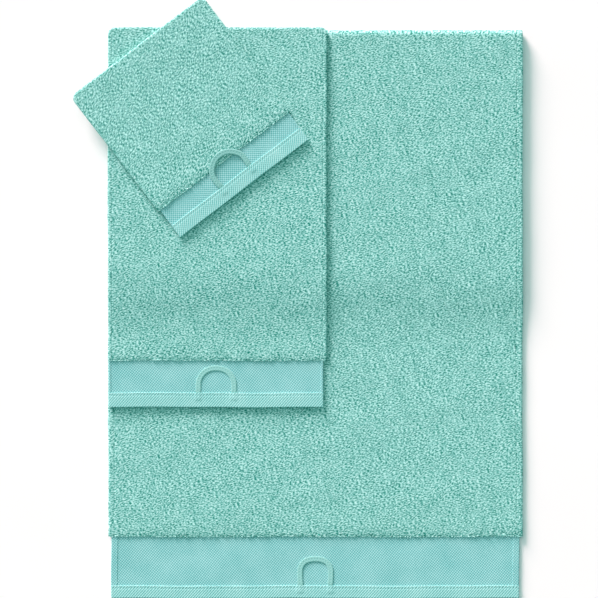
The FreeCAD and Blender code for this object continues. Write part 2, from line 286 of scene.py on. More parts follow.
# Loose loops of yarn along the pile's foot, in mm; pairs are the least and the most
FRINGE_PITCH = 1.6
FRINGE_MARGIN = 2.0
FRINGE_SHIFT = 0.8
FRINGE_STEPS = 7
FRINGE_YARN = 0.9
FRINGE_LIFT = 0.6
FRINGE_LEAN = 1.5
FRINGE_RADIUS = (0.7, 1.3)
FRINGE_REACH = (1.0, 2.8)
FRINGE_SINK = (0.8, 3.0)
FRINGE_START = (0.2, 1.4)

# Pile colour and bump: patterns in cells to a metre, and the weight of each in the tone, which paints
# shade and highlights, and in the bump
COMB_ANGLE = -18.0  # degrees
COMB_SWAY = 0.013  # metres
COMB_SWAY_SCALE = 11.0
STREAK_CELLS = (240.0, 520.0)  # along and across the streaks
YARN_CELLS = (330.0, 620.0)
YARN_SCATTER = 0.8
GRAIN_SCALE = 1000.0
PATCH_SCALE = 40.0
# tuft, streak, yarn and grain also shape the bump, so in the tone they paint shade in the hollows and
# highlights on the loops' tips; patch is random tone
PILE_TONE = {"tuft": 0.03, "streak": 1.3, "yarn": -0.55, "grain": 0.4, "patch": 0.25}
PILE_TONE_SHIFT = -0.29
PILE_BUMP = {"streak": 0.8, "yarn": -0.6, "grain": 0.3}
PILE_BUMP_STRENGTH = 0.25
PILE_BUMP_DISTANCE = 0.002  # metres
# the dark stop is painted shade between the loops, the light stop is painted highlight on their tips,
# and the middle stop is the cloth's own colour
PILE_COLOURS_WITH_PAINTED_SHADE = [
    (0.08, (0.005, 0.23, 0.18)),
    (0.5, (0.255, 0.615, 0.565)),
    (0.92, (0.56, 0.90, 0.86)),
]
PILE_SURFACE = {
    "Roughness": 0.95,
    "Specular IOR Level": 0.1,
    "Sheen Weight": 0.15,
    "Sheen Roughness": 0.45,
    "Sheen Tint": (0.5, 1.0, 0.93, 1.0),
}

# Woven finishes, whose angles are in degrees and whose last two numbers are weights in the tone
Weave = namedtuple("Weave", "angle cross_angle dark light ribs crossing")
WEAVES = {
    "weave": Weave(
        BORDER_RIB_ANGLE, BORDER_CROSS_ANGLE, (0.055, 0.40, 0.39), (0.45, 0.78, 0.78), 0.45, 0.45
    ),
    "hem_cloth": Weave(
        HEM_RIB_ANGLE, HEM_CROSS_ANGLE, (0.08, 0.46, 0.44), (0.50, 0.82, 0.79), 0.62, 0.16
    ),
    "thread": Weave(0.0, 90.0, (0.24, 0.58, 0.56), (0.42, 0.74, 0.72), 0.3, 0.3),
    "strap": Weave(45.0, -45.0, (0.18, 0.52, 0.48), (0.37, 0.69, 0.65), 0.35, 0.35),
}
FINE_SCALE = 800.0
FINE_WEIGHT = 0.35
BLOTCH_SCALE = 22.0
BLOTCH_WEIGHT = 0.3
WEAVE_BUMP = {"rib": 0.5, "cross": 0.4, "fine": 0.3}
WEAVE_BUMP_STRENGTH = 0.6
WEAVE_BUMP_DISTANCE = 0.0004  # metres
WEAVE_SURFACE = {
    "Roughness": 0.8,
    "Specular IOR Level": 0.25,
    "Sheen Weight": 0.1,
    "Sheen Roughness": 0.4,
}

# Floor finish
FLOOR_SCALE = 3.0
FLOOR_TONES = [(0.3, (0.93, 0.93, 0.93)), (0.7, (0.95, 0.95, 0.95))]
FLOOR_SURFACE = {"Roughness": 0.9}

# Points, UV places and tuft heights of a piece, and its faces as point numbers
Shape = namedtuple("Shape", "points cloth depth faces")


# Camera, light and floor


def make_camera():
    """A long lens straight above the set, which takes in all of the two larger towels' length."""
    data = bpy.data.cameras.new("camera")
    data.sensor_width = SENSOR_WIDTH / MM
    data.lens = data.sensor_width * CAMERA_HEIGHT / VIEW_SIDE
    data.clip_start = 0.1
    data.clip_end = 100.0
    camera = bpy.data.objects.new("camera", data)
    camera.location = (VIEW_CENTRE_X, 0.0, CAMERA_HEIGHT)
    bpy.context.scene.collection.objects.link(camera)
    bpy.context.scene.camera = camera


def add_sun(sun):
    """A distant soft light."""
    height = math.radians(sun.elevation)
    data = bpy.data.lights.new(sun.name, "SUN")
    data.angle = math.radians(sun.spread)
    data.energy = math.pi * sun.on_floor / math.sin(height)
    data.color = sun.colour
    light = bpy.data.objects.new(sun.name, data)
    flat = Vector(sun.towards).normalized() * math.cos(height)
    light.location = Vector((flat.x, flat.y, math.sin(height)))
    light.rotation_euler = light.location.to_track_quat("Z", "Y").to_euler()
    bpy.context.scene.collection.objects.link(light)


def make_world():
    """A white backdrop all round, and a tinted sky above it that fills the shadows."""
    world = bpy.data.worlds.new("studio")
    bpy.context.scene.world = world
    world.use_nodes = True
    tree = world.node_tree
    way = node(tree, "ShaderNodeTexCoord").outputs["Generated"]
    height = node(tree, "ShaderNodeSeparateXYZ", {"Vector": way}).outputs["Z"]
    tree.links.new(ramp(tree, height, [BACKDROP, SKY]), tree.nodes["Background"].inputs["Color"])


def make_floor():
    """A plain pale floor just below the set."""
    side = FLOOR_HALF_SIDE
    mesh = bpy.data.meshes.new("floor")
    corners = [(-side, -side, 0), (side, -side, 0), (side, side, 0), (-side, side, 0)]
    mesh.from_pydata(corners, [], [(0, 1, 2, 3)])
    floor = bpy.data.objects.new("floor", mesh)
    floor.location.z = FLOOR_LEVEL
    bpy.context.scene.collection.objects.link(floor)
    mesh.materials.append(floor_material())


def make_studio():
    """Soft light, mostly low from the head and the left, over the floor."""
    bpy.context.scene.view_settings.view_transform = "Standard"
    make_world()
    for sun in SUNS:
        add_sun(sun)
    make_floor()


# Placing cloth coordinates in the world


def hinge_place(towel):
    """The hinge point of the towel's loop in the world, in metres, and the towel's turn in radians."""
    joint = JOINTS[towel.joint]
    return np.array(joint["pos_m"]), math.atan2(joint["axis"][1], joint["axis"][0])


def loop_centre(towel):
    """The middle of the foot hem, in x."""
    return (towel.left_inset + towel.width - towel.right_inset) / 2


def to_world(towel, x, y, z):
    """World places, in metres, of points in the towel's own straight frame, in mm."""
    hinge, turn = hinge_place(towel)
    along = (np.asarray(x) - loop_centre(towel)) * MM
    up_cloth = (np.asarray(y) - towel.foot_hem) * MM
    height = (np.asarray(z) - LOOP_AXIS_LEVEL) * MM
    return np.stack(
        [
            hinge[0] + along * math.cos(turn) - up_cloth * math.sin(turn),
            hinge[1] + along * math.sin(turn) + up_cloth * math.cos(turn),
            hinge[2] + height,
        ],
        axis=-1,
    )


def ramp_share(world_y):
    """Share of the ramp's rise at each world y, in metres: two parabolas that meet halfway up."""
    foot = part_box("bath_head_hem")[0].y - RAMP_LENGTH * MM
    t = np.clip((world_y - foot) / (RAMP_LENGTH * MM), 0, 1)
    return np.where(t < 0.5, 2 * t**2, 1 - 2 * (1 - t) ** 2)


def swell(points):
    """Gentle rise and fall of the cloth, the same for every layer so that the stack stays closed."""
    x, y = points[..., 0], points[..., 1]
    waves = sum(np.sin(along_x * x + along_y * y + phase) for along_x, along_y, phase in SWELL_WAVES)
    return SWELL_HEIGHT * MM * (0.5 + waves / (2 * len(SWELL_WAVES)))


def wander(distance, lengths, long_phase, short_phase):
    """A long and a short wave along a distance in mm, at most EDGE_WAVER high together."""
    long_wave = np.sin(distance / lengths[0] + long_phase)
    short_wave = SHORT_WAVER_SHARE * np.sin(distance / lengths[1] + short_phase)
    return EDGE_WAVER * (long_wave + short_wave) / (1 + SHORT_WAVER_SHARE)


def waver(towel, x, s):
    """Small wanderings of the cloth to the side and along, so that no edge is dead straight."""
    phase = towel.seed
    aside = wander(s, WAVERS_ASIDE, phase, 2 * phase)
    along = wander(x, WAVERS_ALONG, 3 * phase, phase)
    return x + aside, s + along


def place(towel, x, s, h):
    """World places, in metres, of points in cloth coordinates."""
    x, s, h = (np.asarray(value, float) for value in np.broadcast_arrays(x, s, h))
    x, s = waver(towel, x, s)
    if towel is BATH:
        turn = np.clip((s - FOLD_Y) / FOLD_MIDDLE_RADIUS, 0, math.pi)
        radius = LAYER_GAP / 2 + h
        past = np.maximum(s - FOLD_Y - FOLD_LENGTH, 0)
        y = np.minimum(s, FOLD_Y) + radius * np.sin(turn) - past
        z = FOLD_CENTRE_LEVEL + radius * np.cos(turn) - LAYER_RISE
        points = to_world(towel, x, y, z)
        share = np.where(s > FOLD_Y, 1.0, ramp_share(points[..., 1]))
    else:
        points = to_world(towel, x, s, h)
        share = ramp_share(points[..., 1]) if towel is HAND else 0.0
    points[..., 2] += LAYER_RISE * MM * share + swell(points)
    return points


# Making meshes


def joined(shapes):
    """Several shapes as one."""
    starts = np.cumsum([0] + [len(shape.points) for shape in shapes])
    faces = []
    for start, shape in zip(starts, shapes):
        faces.extend([[start + corner for corner in face] for face in shape.faces])
    return Shape(
        np.concatenate([shape.points for shape in shapes]),
        np.concatenate([shape.cloth for shape in shapes]),
        np.concatenate([shape.depth for shape in shapes]),
        faces,
    )


def make_piece(name, shape, material):
    """A mesh object with the shape's points in metres, the cloth UV map and the tuft heights."""
    mesh = bpy.data.meshes.new(name)
    mesh.from_pydata(shape.points.tolist(), [], shape.faces)
    corners = np.empty(len(mesh.loops), dtype=np.int32)
    mesh.loops.foreach_get("vertex_index", corners)
    layer = mesh.uv_layers.new(name="cloth")
    layer.data.foreach_set("uv", (shape.cloth[corners] * MM).astype(np.float32).ravel())
    heights = mesh.attributes.new("tuft", "FLOAT", "POINT")
    heights.data.foreach_set("value", shape.depth.astype(np.float32))
    mesh.polygons.foreach_set("use_smooth", np.ones(len(mesh.polygons), dtype=bool))
    mesh.materials.append(material)
    mesh.update()
    piece = bpy.data.objects.new(name, mesh)
    bpy.context.scene.collection.objects.link(piece)
    return piece


def ring_faces(rows, columns):
    """Faces between rows of closed rings of points, with a face to close each end."""
    number = np.arange(rows * columns).reshape(rows, columns)
    after = np.roll(number, -1, axis=1)
    quads = np.stack([number[:-1], after[:-1], after[1:], number[1:]], axis=-1)
    faces = quads.reshape(-1, 4).tolist()
    faces.append(number[0, ::-1].tolist())
    faces.append(number[-1].tolist())
    return faces


# Surface relief, in mm


def tufts(x, s, seed):
    """Height from 0 to 1 of the pile's tufts, which stand on a jittered grid and differ in size."""
    rng = np.random.default_rng(seed)
    shift_x, shift_s, tall = rng.random((3, TUFT_REPEAT, TUFT_REPEAT))
    column = np.floor(x / TUFT_PITCH).astype(int)
    row = np.floor(s / TUFT_PITCH).astype(int)
    best = np.full(np.broadcast(x, s).shape, -1.0)
    for row_step in (-1, 0, 1):
        for column_step in (-1, 0, 1):
            at = (row + row_step) % TUFT_REPEAT, (column + column_step) % TUFT_REPEAT
            from_x = x / TUFT_PITCH - column - column_step - shift_x[at]
            from_s = s / TUFT_PITCH - row - row_step - shift_s[at]
            tip = LOW_TUFT + TALL_TUFT_GAIN * tall[at]
            best = np.maximum(best, tip - TUFT_FALL * (from_x**2 + from_s**2))
    return np.clip(best, 0, 1)


def rib_wave(x, s, angle):
    """The twill's ribs, from -1 to 1, which run at an angle in degrees from x."""
    turn = math.radians(angle)
    across = -x * math.sin(turn) + s * math.cos(turn)
    return np.cos(2 * math.pi * across / RIB_PITCH)


def pile_relief(towel):
    """The pile's upper face: tufts, which are shorter and more uneven along the foot edge."""

    def relief(x, s):
        near = tufts(x, s, towel.seed)
        from_foot = np.maximum(s - pile_foot(towel), 0)
        drop = FOOT_DROP * np.exp(-from_foot / FOOT_DROP_REACH)
        depth = TUFT_DEPTH * (1 + FOOT_TUFT_GAIN * np.exp(-from_foot / FOOT_TUFT_REACH))
        return depth * (near - TUFT_MIDDLE) - drop, near

    return relief


def border_relief(towel):
    """The flat weave's upper face: crossing ribs, and a rise to meet the pile."""

    def relief(x, s):
        ribs = BORDER_RIB_SHARE * rib_wave(x, s, BORDER_RIB_ANGLE)
        wave = ribs + BORDER_CROSS_SHARE * rib_wave(x, s, BORDER_CROSS_ANGLE)
        from_pile = np.maximum(pile_foot(towel) - s, 0)
        rise = BORDER_RISE * np.exp(-from_pile / BORDER_RISE_REACH)
        return RIB_HEIGHT * wave + rise, 0.5 + wave / 2

    return relief


def groove(distance, depth, middle, width):
    """A soft furrow across a distance, as a height below zero."""
    return -depth * np.exp(-(((distance - middle) / width) ** 2))


def hem_relief(towel):
    """The turned hem's face: ribs, puckers below the stitches and a rise over the strap's ends."""
    leg = (towel.loop_width - PRESSED_WIDTH) / 2

    def relief(x, s):
        wave = rib_wave(x, s, HEM_RIB_ANGLE)
        below = towel.foot_hem - STITCH_INSET - s
        furrows = groove(below, *STITCH_GROOVE) + groove(below, *FOLD_GROOVE)
        fading = PUCKER * np.exp(-np.maximum(below, 0) / PUCKER_REACH)
        pucker = fading * np.sin(2 * math.pi * x / HEM_STITCH_PITCH)
        from_leg = np.abs(np.abs(x - loop_centre(towel)) - leg)
        beside = 1 + np.exp(from_leg - STRAP_BULGE_HALF_WIDTH)
        beyond = 1 + np.exp(below - STRAP_BULGE_REACH)
        bulge = STRAP_BULGE / beside / beyond
        return RIB_HEIGHT * wave + furrows + pucker + bulge, 0.5 + wave / 2

    return relief


# Bands of cloth

# left, right, foot and head are the band's edges, middle its mid level and rounds the widths over
# which the same four edges are rounded, all in mm. corner rounds the head's two corners.
Band = namedtuple(
    "Band", "left right foot head middle thickness rounds grid corner", defaults=[0]
)


def stations(start, end, start_round, end_round, grid, open_ends):
    """Places across a band, and the share of its thickness that it has at each."""
    turns = np.linspace(0, math.pi / 2, EDGE_STEPS)
    if open_ends:
        turns = turns[1:]
    count = max(1, round((end - end_round - start - start_round) / grid))
    inner = np.linspace(start + start_round, end - end_round, count + 1)[1:-1]
    first = start + start_round * (1 - np.cos(turns))
    last = end - end_round * (1 - np.cos(turns[::-1]))
    rise = (1 - np.cos(turns) ** EDGE_FULLNESS) ** (1 / EDGE_FULLNESS)
    shares = np.concatenate([rise, np.ones(len(inner)), rise[::-1]])
    return np.concatenate([first, inner, last]), shares


def corner_inset(band, s):
    """How far the side edges draw in where the head's corners are rounded."""
    if not band.corner:
        return np.zeros_like(s)
    into = np.clip(s - (band.head - band.corner), 0, band.corner)
    return band.corner - np.sqrt(band.corner**2 - into**2 * CORNER_FULLNESS)


def band_shape(towel, band, relief, ragged=0.0, fine_to=None):
    """A closed band of cloth with rounded edges, whose upper face has the relief.

    ragged moves the points about, as a share of the grid. Past fine_to the rows are far apart."""
    left_round, right_round, foot_round, head_round = band.rounds
    across, x_shares = stations(band.left, band.right, left_round, right_round, band.grid, False)
    along, s_shares = stations(band.foot, band.head, foot_round, head_round, band.grid, True)
    if fine_to is not None:
        number = np.arange(len(along))
        rounded = number >= len(along) - EDGE_STEPS
        kept = (along < fine_to) | (number % COARSE_STEP == 0) | rounded
        along, s_shares = along[kept], s_shares[kept]
    rng = np.random.default_rng(towel.seed + int(band.left) + 7 * int(band.foot))
    x, s = np.meshgrid(across, along)
    jitter = rng.uniform(-ragged * band.grid, ragged * band.grid, (2,) + x.shape)
    x = x + jitter[0]
    s = s + jitter[1]
    share = np.outer(s_shares, x_shares)
    raised, depth = relief(x, s)
    half = band.thickness / 2
    top = band.middle + (half + raised) * share
    # the underside needs only its two rounded edges
    low_across = [
        band.right - right_round * LOW_ROUND_SHARE,
        band.right - right_round,
        band.left + left_round,
        band.left + left_round * LOW_ROUND_SHARE,
    ]
    low_share = np.outer(s_shares, [LOW_EDGE_SHARE, 1.0, 1.0, LOW_EDGE_SHARE])
    low_x, low_s = np.meshgrid(low_across, along)
    bottom = band.middle - half * low_share
    middle_x = (band.left + band.right) / 2
    all_x = np.concatenate([x, low_x], axis=1)
    all_s = np.concatenate([s, low_s], axis=1)
    inset = corner_inset(band, along)[:, None]
    narrowing = 1 - inset / (middle_x - band.left)
    all_x = middle_x + (all_x - middle_x) * narrowing
    all_h = np.concatenate([top, bottom], axis=1)
    all_depth = np.concatenate([depth, np.full(low_x.shape, 0.5)], axis=1)
    points = place(towel, all_x, all_s, all_h).reshape(-1, 3)
    cloth = np.stack([all_x, all_s], axis=-1).reshape(-1, 2)
    return Shape(points, cloth, all_depth.ravel(), ring_faces(*all_x.shape))


def pile_foot(towel):
    """Where the pile starts, along the cloth."""
    return towel.foot_hem + towel.border


def pile_head(towel):
    """Where the pile ends and the head hem starts, along the cloth."""
    return towel.length - towel.head_hem


def fine_end(towel):
    """Where the bath towel's pile goes out of sight round the fold; the others are fine throughout."""
    return FOLD_Y + FOLD_LENGTH + FOLD_MARGIN if towel is BATH else None


def pile_shape(towel):
    """The terry between the side hems."""
    band = Band(
        left=towel.side_hem - SEAM_OVERLAP,
        right=towel.width - towel.side_hem + SEAM_OVERLAP,
        foot=pile_foot(towel) - PILE_FOOT_LAP,
        head=pile_head(towel) + SEAM_OVERLAP,
        middle=PILE_THICKNESS / 2,
        thickness=PILE_THICKNESS,
        rounds=(SEAM_ROUND, SEAM_ROUND, PILE_FOOT_ROUND, SEAM_ROUND),
        grid=towel.grid,
    )
    return band_shape(towel, band, pile_relief(towel), PILE_RAGGED, fine_end(towel))


def side_hem_shape(towel, on_left):
    """The turned side hem beside the pile."""
    half_pile = PILE_THICKNESS / 2
    side_rounds = (half_pile, SEAM_ROUND) if on_left else (SEAM_ROUND, half_pile)
    band = Band(
        left=0 if on_left else towel.width - towel.side_hem,
        right=towel.side_hem if on_left else towel.width,
        foot=pile_foot(towel) - PILE_FOOT_LAP,
        head=pile_head(towel) + SEAM_OVERLAP,
        middle=half_pile,
        thickness=PILE_THICKNESS,
        rounds=side_rounds + (PILE_FOOT_ROUND, SEAM_ROUND),
        grid=min(towel.grid, EDGE_GRID),
    )
    return band_shape(towel, band, pile_relief(towel), PILE_RAGGED, fine_end(towel))


def side_band_shape(towel, on_left):
    """The narrow turned edge beside the flat border."""
    left = towel.left_inset
    side_rounds = (BAND_OUTER_ROUND, BAND_INNER_ROUND)
    if not on_left:
        left = towel.width - towel.right_inset - towel.side_band
        side_rounds = (BAND_INNER_ROUND, BAND_OUTER_ROUND)
    band = Band(
        left=left,
        right=left + towel.side_band,
        foot=towel.foot_hem - HEM_LAP,
        head=pile_foot(towel) + PILE_LAP,
        middle=WEAVE_LEVEL,
        thickness=BAND_THICKNESS,
        rounds=side_rounds + (WEAVE_ROUND, WEAVE_ROUND),
        grid=WEAVE_GRID,
    )
    return band_shape(towel, band, border_relief(towel))


def head_hem_shape(towel):
    """The turned hem at the head, whose two corners are rounded."""
    half_pile = PILE_THICKNESS / 2
    band = Band(
        left=0,
        right=towel.width,
        foot=pile_head(towel) - SEAM_OVERLAP,
        head=towel.length,
        middle=half_pile,
        thickness=PILE_THICKNESS,
        rounds=(half_pile, half_pile, SEAM_ROUND, half_pile),
        grid=towel.grid,
        corner=towel.corner,
    )
    return band_shape(towel, band, pile_relief(towel), HEAD_RAGGED)


def border_shape(towel):
    """The flat weave between the foot hem and the pile."""
    band = Band(
        left=towel.left_inset + towel.side_band - BAND_LAP,
        right=towel.width - towel.right_inset - towel.side_band + BAND_LAP,
        foot=towel.foot_hem - HEM_LAP,
        head=pile_foot(towel) + PILE_LAP,
        middle=WEAVE_LEVEL,
        thickness=WEAVE_THICKNESS,
        rounds=(WEAVE_ROUND,) * 4,
        grid=WEAVE_GRID,
    )
    return band_shape(towel, band, border_relief(towel))


def end_hem_shape(towel):
    """The turned foot hem."""
    band = Band(
        left=towel.left_inset,
        right=towel.width - towel.right_inset,
        foot=0,
        head=towel.foot_hem,
        middle=WEAVE_LEVEL,
        thickness=HEM_THICKNESS,
        rounds=HEM_ROUNDS,
        grid=WEAVE_GRID,
    )
    return band_shape(towel, band, hem_relief(towel))


# Stitches and fringe


def places_along(start, end, pitch):
    """Middles of a row of stitches at about that pitch, which fills the length evenly."""
    count = max(1, round((end - start) / pitch))
    step = (end - start) / count
    return start + step * (np.arange(count) + 0.5)


def tube_faces(steps):
    """Faces of a short tube of six-sided rings, with each end closed by a pair of quads."""
    faces = [face for face in ring_faces(steps, TUBE_SIDES) if len(face) == 4]
    last = (steps - 1) * TUBE_SIDES
    faces += [[3, 2, 1, 0], [5, 4, 3, 0]]
    faces += [[last, last + 1, last + 2, last + 3], [last, last + 3, last + 4, last + 5]]
    return np.array(faces)


def little_tubes(towel, lines, widths, heights):
    """Thin tubes along many short lines of points in cloth coordinates.

    lines has one row of points for each tube, and widths and heights one number for each point."""
    turns = np.arange(TUBE_SIDES) * 2 * math.pi / TUBE_SIDES
    ways = np.gradient(lines, axis=1)
    flat = np.stack([-ways[..., 1], ways[..., 0]], axis=-1)
    flat = flat / np.maximum(np.linalg.norm(flat, axis=-1, keepdims=True), 1e-6)
    rings = np.repeat(lines[:, :, None, :], TUBE_SIDES, axis=2)
    rings[..., 0] += flat[:, :, None, 0] * widths[:, None] / 2 * np.cos(turns)
    rings[..., 1] += flat[:, :, None, 1] * widths[:, None] / 2 * np.cos(turns)
    rings[..., 2] += heights[:, None] / 2 * np.sin(turns)
    count, steps = lines.shape[:2]
    starts = np.arange(count) * steps * TUBE_SIDES
    faces = (tube_faces(steps) + starts[:, None, None]).reshape(-1, 4).tolist()
    points = place(towel, rings[..., 0], rings[..., 1], rings[..., 2]).reshape(-1, 3)
    return Shape(points, rings[..., :2].reshape(-1, 2), np.ones(len(points)), faces)


def stitch_shape(towel, x, s, h, length, along_x, seed):
    """A row of stitches: short plump tubes that dip into the cloth at both ends."""
    rng = np.random.default_rng(towel.seed + seed)
    count = np.broadcast(x, s, h).size
    t = np.linspace(-1, 1, 5)
    lean = rng.normal(0, STITCH_LEAN, count)
    reach = length / 2 * rng.uniform(1 - STITCH_UNEVENNESS, 1 + STITCH_UNEVENNESS, count)
    forward = np.outer(reach, t)
    aside = np.outer(reach * lean, t)
    step_x, step_s = (forward, aside) if along_x else (aside, forward)
    x, s, h = (np.broadcast_to(value, count)[:, None] for value in (x, s, h))
    lines = np.stack([x + step_x, s + step_s, h - STITCH_DIP * t**2], axis=-1)
    widths = STITCH_WIDTH - STITCH_NARROWING * t**4
    heights = STITCH_HEIGHT - STITCH_FLATTENING * t**4
    return little_tubes(towel, lines, widths, heights)


def hem_stitch_shape(towel):
    """The row along the foot hem's upper edge."""
    right = towel.width - towel.right_inset
    x = places_along(towel.left_inset + STITCH_INSET, right - STITCH_INSET, HEM_STITCH_PITCH)
    s = towel.foot_hem - STITCH_INSET
    length = HEM_STITCH_SHARE * HEM_STITCH_PITCH
    return stitch_shape(towel, x, s, HEM_TOP - HEM_STITCH_SINK, length, True, 1)


def side_stitch_shape(towel):
    """The rows that close the side hems, on the pile and on the border's bands."""
    rows = []
    head = FOLD_Y if towel is BATH else pile_head(towel)
    foot = pile_foot(towel)
    length = SEAM_STITCH_SHARE * SEAM_STITCH_PITCH
    band_level = BAND_TOP - BAND_STITCH_SINK
    pile_level = PILE_THICKNESS - SEAM_STITCH_SINK
    for edge, inset, inward in ((0, towel.left_inset, 1), (towel.width, towel.right_inset, -1)):
        seam = edge + inward * (towel.side_hem - STITCH_INSET / 2)
        band_seam = edge + inward * (inset + towel.side_band - STITCH_INSET)
        low = places_along(towel.foot_hem, foot, SEAM_STITCH_PITCH)
        high = places_along(foot, head, SEAM_STITCH_PITCH)
        rows.append(stitch_shape(towel, band_seam, low, band_level, length, False, 2))
        rows.append(stitch_shape(towel, seam, high, pile_level, length, False, 3))
    return joined(rows)


def head_stitch_shape(towel):
    """The row along the head hem."""
    s = pile_head(towel) + STITCH_INSET / 2
    x = places_along(towel.side_hem, towel.width - towel.side_hem, SEAM_STITCH_PITCH)
    length = SEAM_STITCH_SHARE * SEAM_STITCH_PITCH
    return stitch_shape(towel, x, s, PILE_THICKNESS - SEAM_STITCH_SINK, length, True, 4)


def fringe_shape(towel):
    """Loose loops of pile yarn that lean out over the border along the pile's foot."""
    rng = np.random.default_rng(towel.seed + 5)
    x = np.arange(FRINGE_MARGIN, towel.width - FRINGE_MARGIN, FRINGE_PITCH)
    x = x + rng.uniform(-FRINGE_SHIFT, FRINGE_SHIFT, len(x))
    one_each = (len(x), 1)
    t = np.linspace(0, math.pi, FRINGE_STEPS)
    radius = rng.uniform(*FRINGE_RADIUS, one_each)
    lean = rng.uniform(-FRINGE_LEAN, FRINGE_LEAN, one_each)
    reach = rng.uniform(*FRINGE_REACH, one_each)
    base = PILE_THICKNESS - rng.uniform(*FRINGE_SINK, one_each)
    start = pile_foot(towel) + rng.uniform(*FRINGE_START, one_each)
    lines = np.stack(
        [
            x[:, None] + radius * np.cos(t) + lean * np.sin(t),
            start - reach * np.sin(t),
            base + FRINGE_LIFT * np.sin(t),
        ],
        axis=-1,
    )
    yarn = np.full(FRINGE_STEPS, FRINGE_YARN)
    return little_tubes(towel, lines, yarn, yarn)


# Hanging loops


def loop_route(towel):
    """The loop's route in its own plane, from the hem's upper edge, in mm: x, y and height."""
    half = (towel.loop_width - PRESSED_WIDTH) / 2
    crown = towel.loop_height - PRESSED_WIDTH / 2
    corner = towel.loop_flatness * half
    shoulder = crown - (1 - towel.loop_flatness) * half
    splay = LEG_SPLAY if shoulder > 2 * corner else 0.0
    sunk = HEM_TOP - STRAP_END_DEPTH - WEAVE_TOP - LOOP_CLEARANCE - PRESSED_THICKNESS / 2
    foot = -half + splay
    leg = [(foot, -STRAP_END_REACH, sunk), (foot, STRAP_RISE_START, sunk), (foot, LEG_START, 0)]
    if splay:
        leg.append((-half, shoulder * LEG_POINT, 0))
    leg += [(-half, shoulder, 0), (-corner, crown, 0)]
    return leg + [(-x, y, z) for x, y, z in reversed(leg)]


def loop_tilt(towel):
    """Radians that a long loop leans up by, so that it clears the pile's edge."""
    if not towel.loop_over_pile:
        return 0.0
    return math.atan2(PILE_THICKNESS - WEAVE_TOP, towel.border - STRAP_THICKNESS / 2)


def smooth_line(points):
    """Points along the NURBS spline that has the route's points as its control points."""
    curve = bpy.data.curves.new("route", "CURVE")
    curve.dimensions = "3D"
    spline = curve.splines.new("NURBS")
    spline.points.add(len(points) - 1)
    for control, point in zip(spline.points, points):
        control.co = (*point, 1.0)
    spline.order_u = 3
    spline.use_endpoint_u = True
    spline.resolution_u = SPLINE_STEPS
    bare = bpy.data.objects.new("route", curve)
    mesh = bpy.data.meshes.new_from_object(bare)
    line = np.array([vertex.co for vertex in mesh.vertices])
    bpy.data.meshes.remove(mesh)
    bpy.data.curves.remove(curve)
    return line


def strap_section(turns, thickness):
    """Offsets to the side and up of the strap's outline: a flattened tube with a shallow valley."""
    across, above = np.cos(turns), np.sin(turns)
    side = np.sign(across) * np.abs(across) ** SIDE_POWER * PRESSED_WIDTH / 2
    up = np.sign(above) * np.abs(above) ** TOP_POWER * thickness / 2
    valley = VALLEY_SHARE * thickness * np.exp(-((side / VALLEY_WIDTH) ** 2)) * (above > 0)
    return side, up - valley


def strap_shape(towel):
    """The loop's strap with its two flat ends under the hem, and the line that it follows."""
    line = smooth_line(loop_route(towel)).astype(float)
    ways = np.gradient(line, axis=0)
    ways = ways / np.linalg.norm(ways, axis=1, keepdims=True)
    sideways = np.stack([-ways[:, 1], ways[:, 0], np.zeros(len(line))], axis=1)
    sideways = sideways / np.linalg.norm(sideways, axis=1, keepdims=True)
    upward = np.cross(ways, sideways)
    run = np.concatenate([[0], np.cumsum(np.linalg.norm(np.diff(line, axis=0), axis=1))])
    free = np.clip((line[:, 1] - STRAP_FULL_START) / STRAP_FULL_LENGTH, 0, 1)
    free = free * free * (3 - 2 * free)
    thick = STRAP_END_THICKNESS + (PRESSED_THICKNESS - STRAP_END_THICKNESS) * free
    turns = np.arange(STRAP_SIDES) * 2 * math.pi / STRAP_SIDES
    rings, cloth = [], []
    for point, aside, up, thickness, distance in zip(line, sideways, upward, thick, run):
        side, rise = strap_section(turns, thickness)
        rings.append(point + aside * side[:, None] + up * rise[:, None])
        cloth.append(np.stack([turns * STRAP_ROUND, np.full(STRAP_SIDES, distance)], axis=1))
    tilt = loop_tilt(towel)
    points = loop_to_world(towel, np.concatenate(rings), tilt)
    faces = ring_faces(len(line), STRAP_SIDES)
    shape = Shape(points, np.concatenate(cloth), np.ones(len(points)), faces)
    return shape, loop_to_world(towel, line, tilt)


def loop_to_world(towel, points, tilt):
    """World places of points in the loop's plane, which leans up from the hem's upper edge."""
    forward = points[:, 1]
    height = points[:, 2] + PRESSED_THICKNESS / 2
    in_hem = forward < 0
    y = np.where(in_hem, forward, forward * math.cos(tilt) - height * math.sin(tilt))
    z = np.where(in_hem, height, forward * math.sin(tilt) + height * math.cos(tilt))
    middle = loop_centre(towel)
    level = z + WEAVE_TOP + LOOP_CLEARANCE
    placed = to_world(towel, middle + points[:, 0], towel.foot_hem + y, level)
    placed[:, 2] += swell(to_world(towel, middle, towel.foot_hem, 0)[None])
    return placed


# Materials


def node(tree, kind, inputs=None, **settings):
    """Adds a node; each input is a value or another node's output."""
    made = tree.nodes.new(kind)
    for name, value in settings.items():
        setattr(made, name, value)
    for name, value in (inputs or {}).items():
        socket = made.inputs[name]
        if isinstance(value, bpy.types.NodeSocket):
            tree.links.new(value, socket)
        else:
            socket.default_value = value
    return made


def new_material(name, settings):
    """A material with only its surface shader, with the settings."""
    material = bpy.data.materials.new(name)
    material.use_nodes = True
    surface = material.node_tree.nodes["Principled BSDF"]
    for setting, value in settings.items():
        surface.inputs[setting].default_value = value
    return material, material.node_tree, surface


def connect(tree, surface, colour, height, strength, distance):
    """Gives the surface its colour, and bumps that follow the height."""
    bump = node(
        tree, "ShaderNodeBump", {"Height": height, "Strength": strength, "Distance": distance}
    )
    tree.links.new(colour, surface.inputs["Base Color"])
    tree.links.new(bump.outputs["Normal"], surface.inputs["Normal"])


def math_node(tree, operation, first, second=0.0):
    """The output of a sum or other operation on one or two values."""
    made = node(tree, "ShaderNodeMath", {0: first, 1: second}, operation=operation)
    return made.outputs[0]


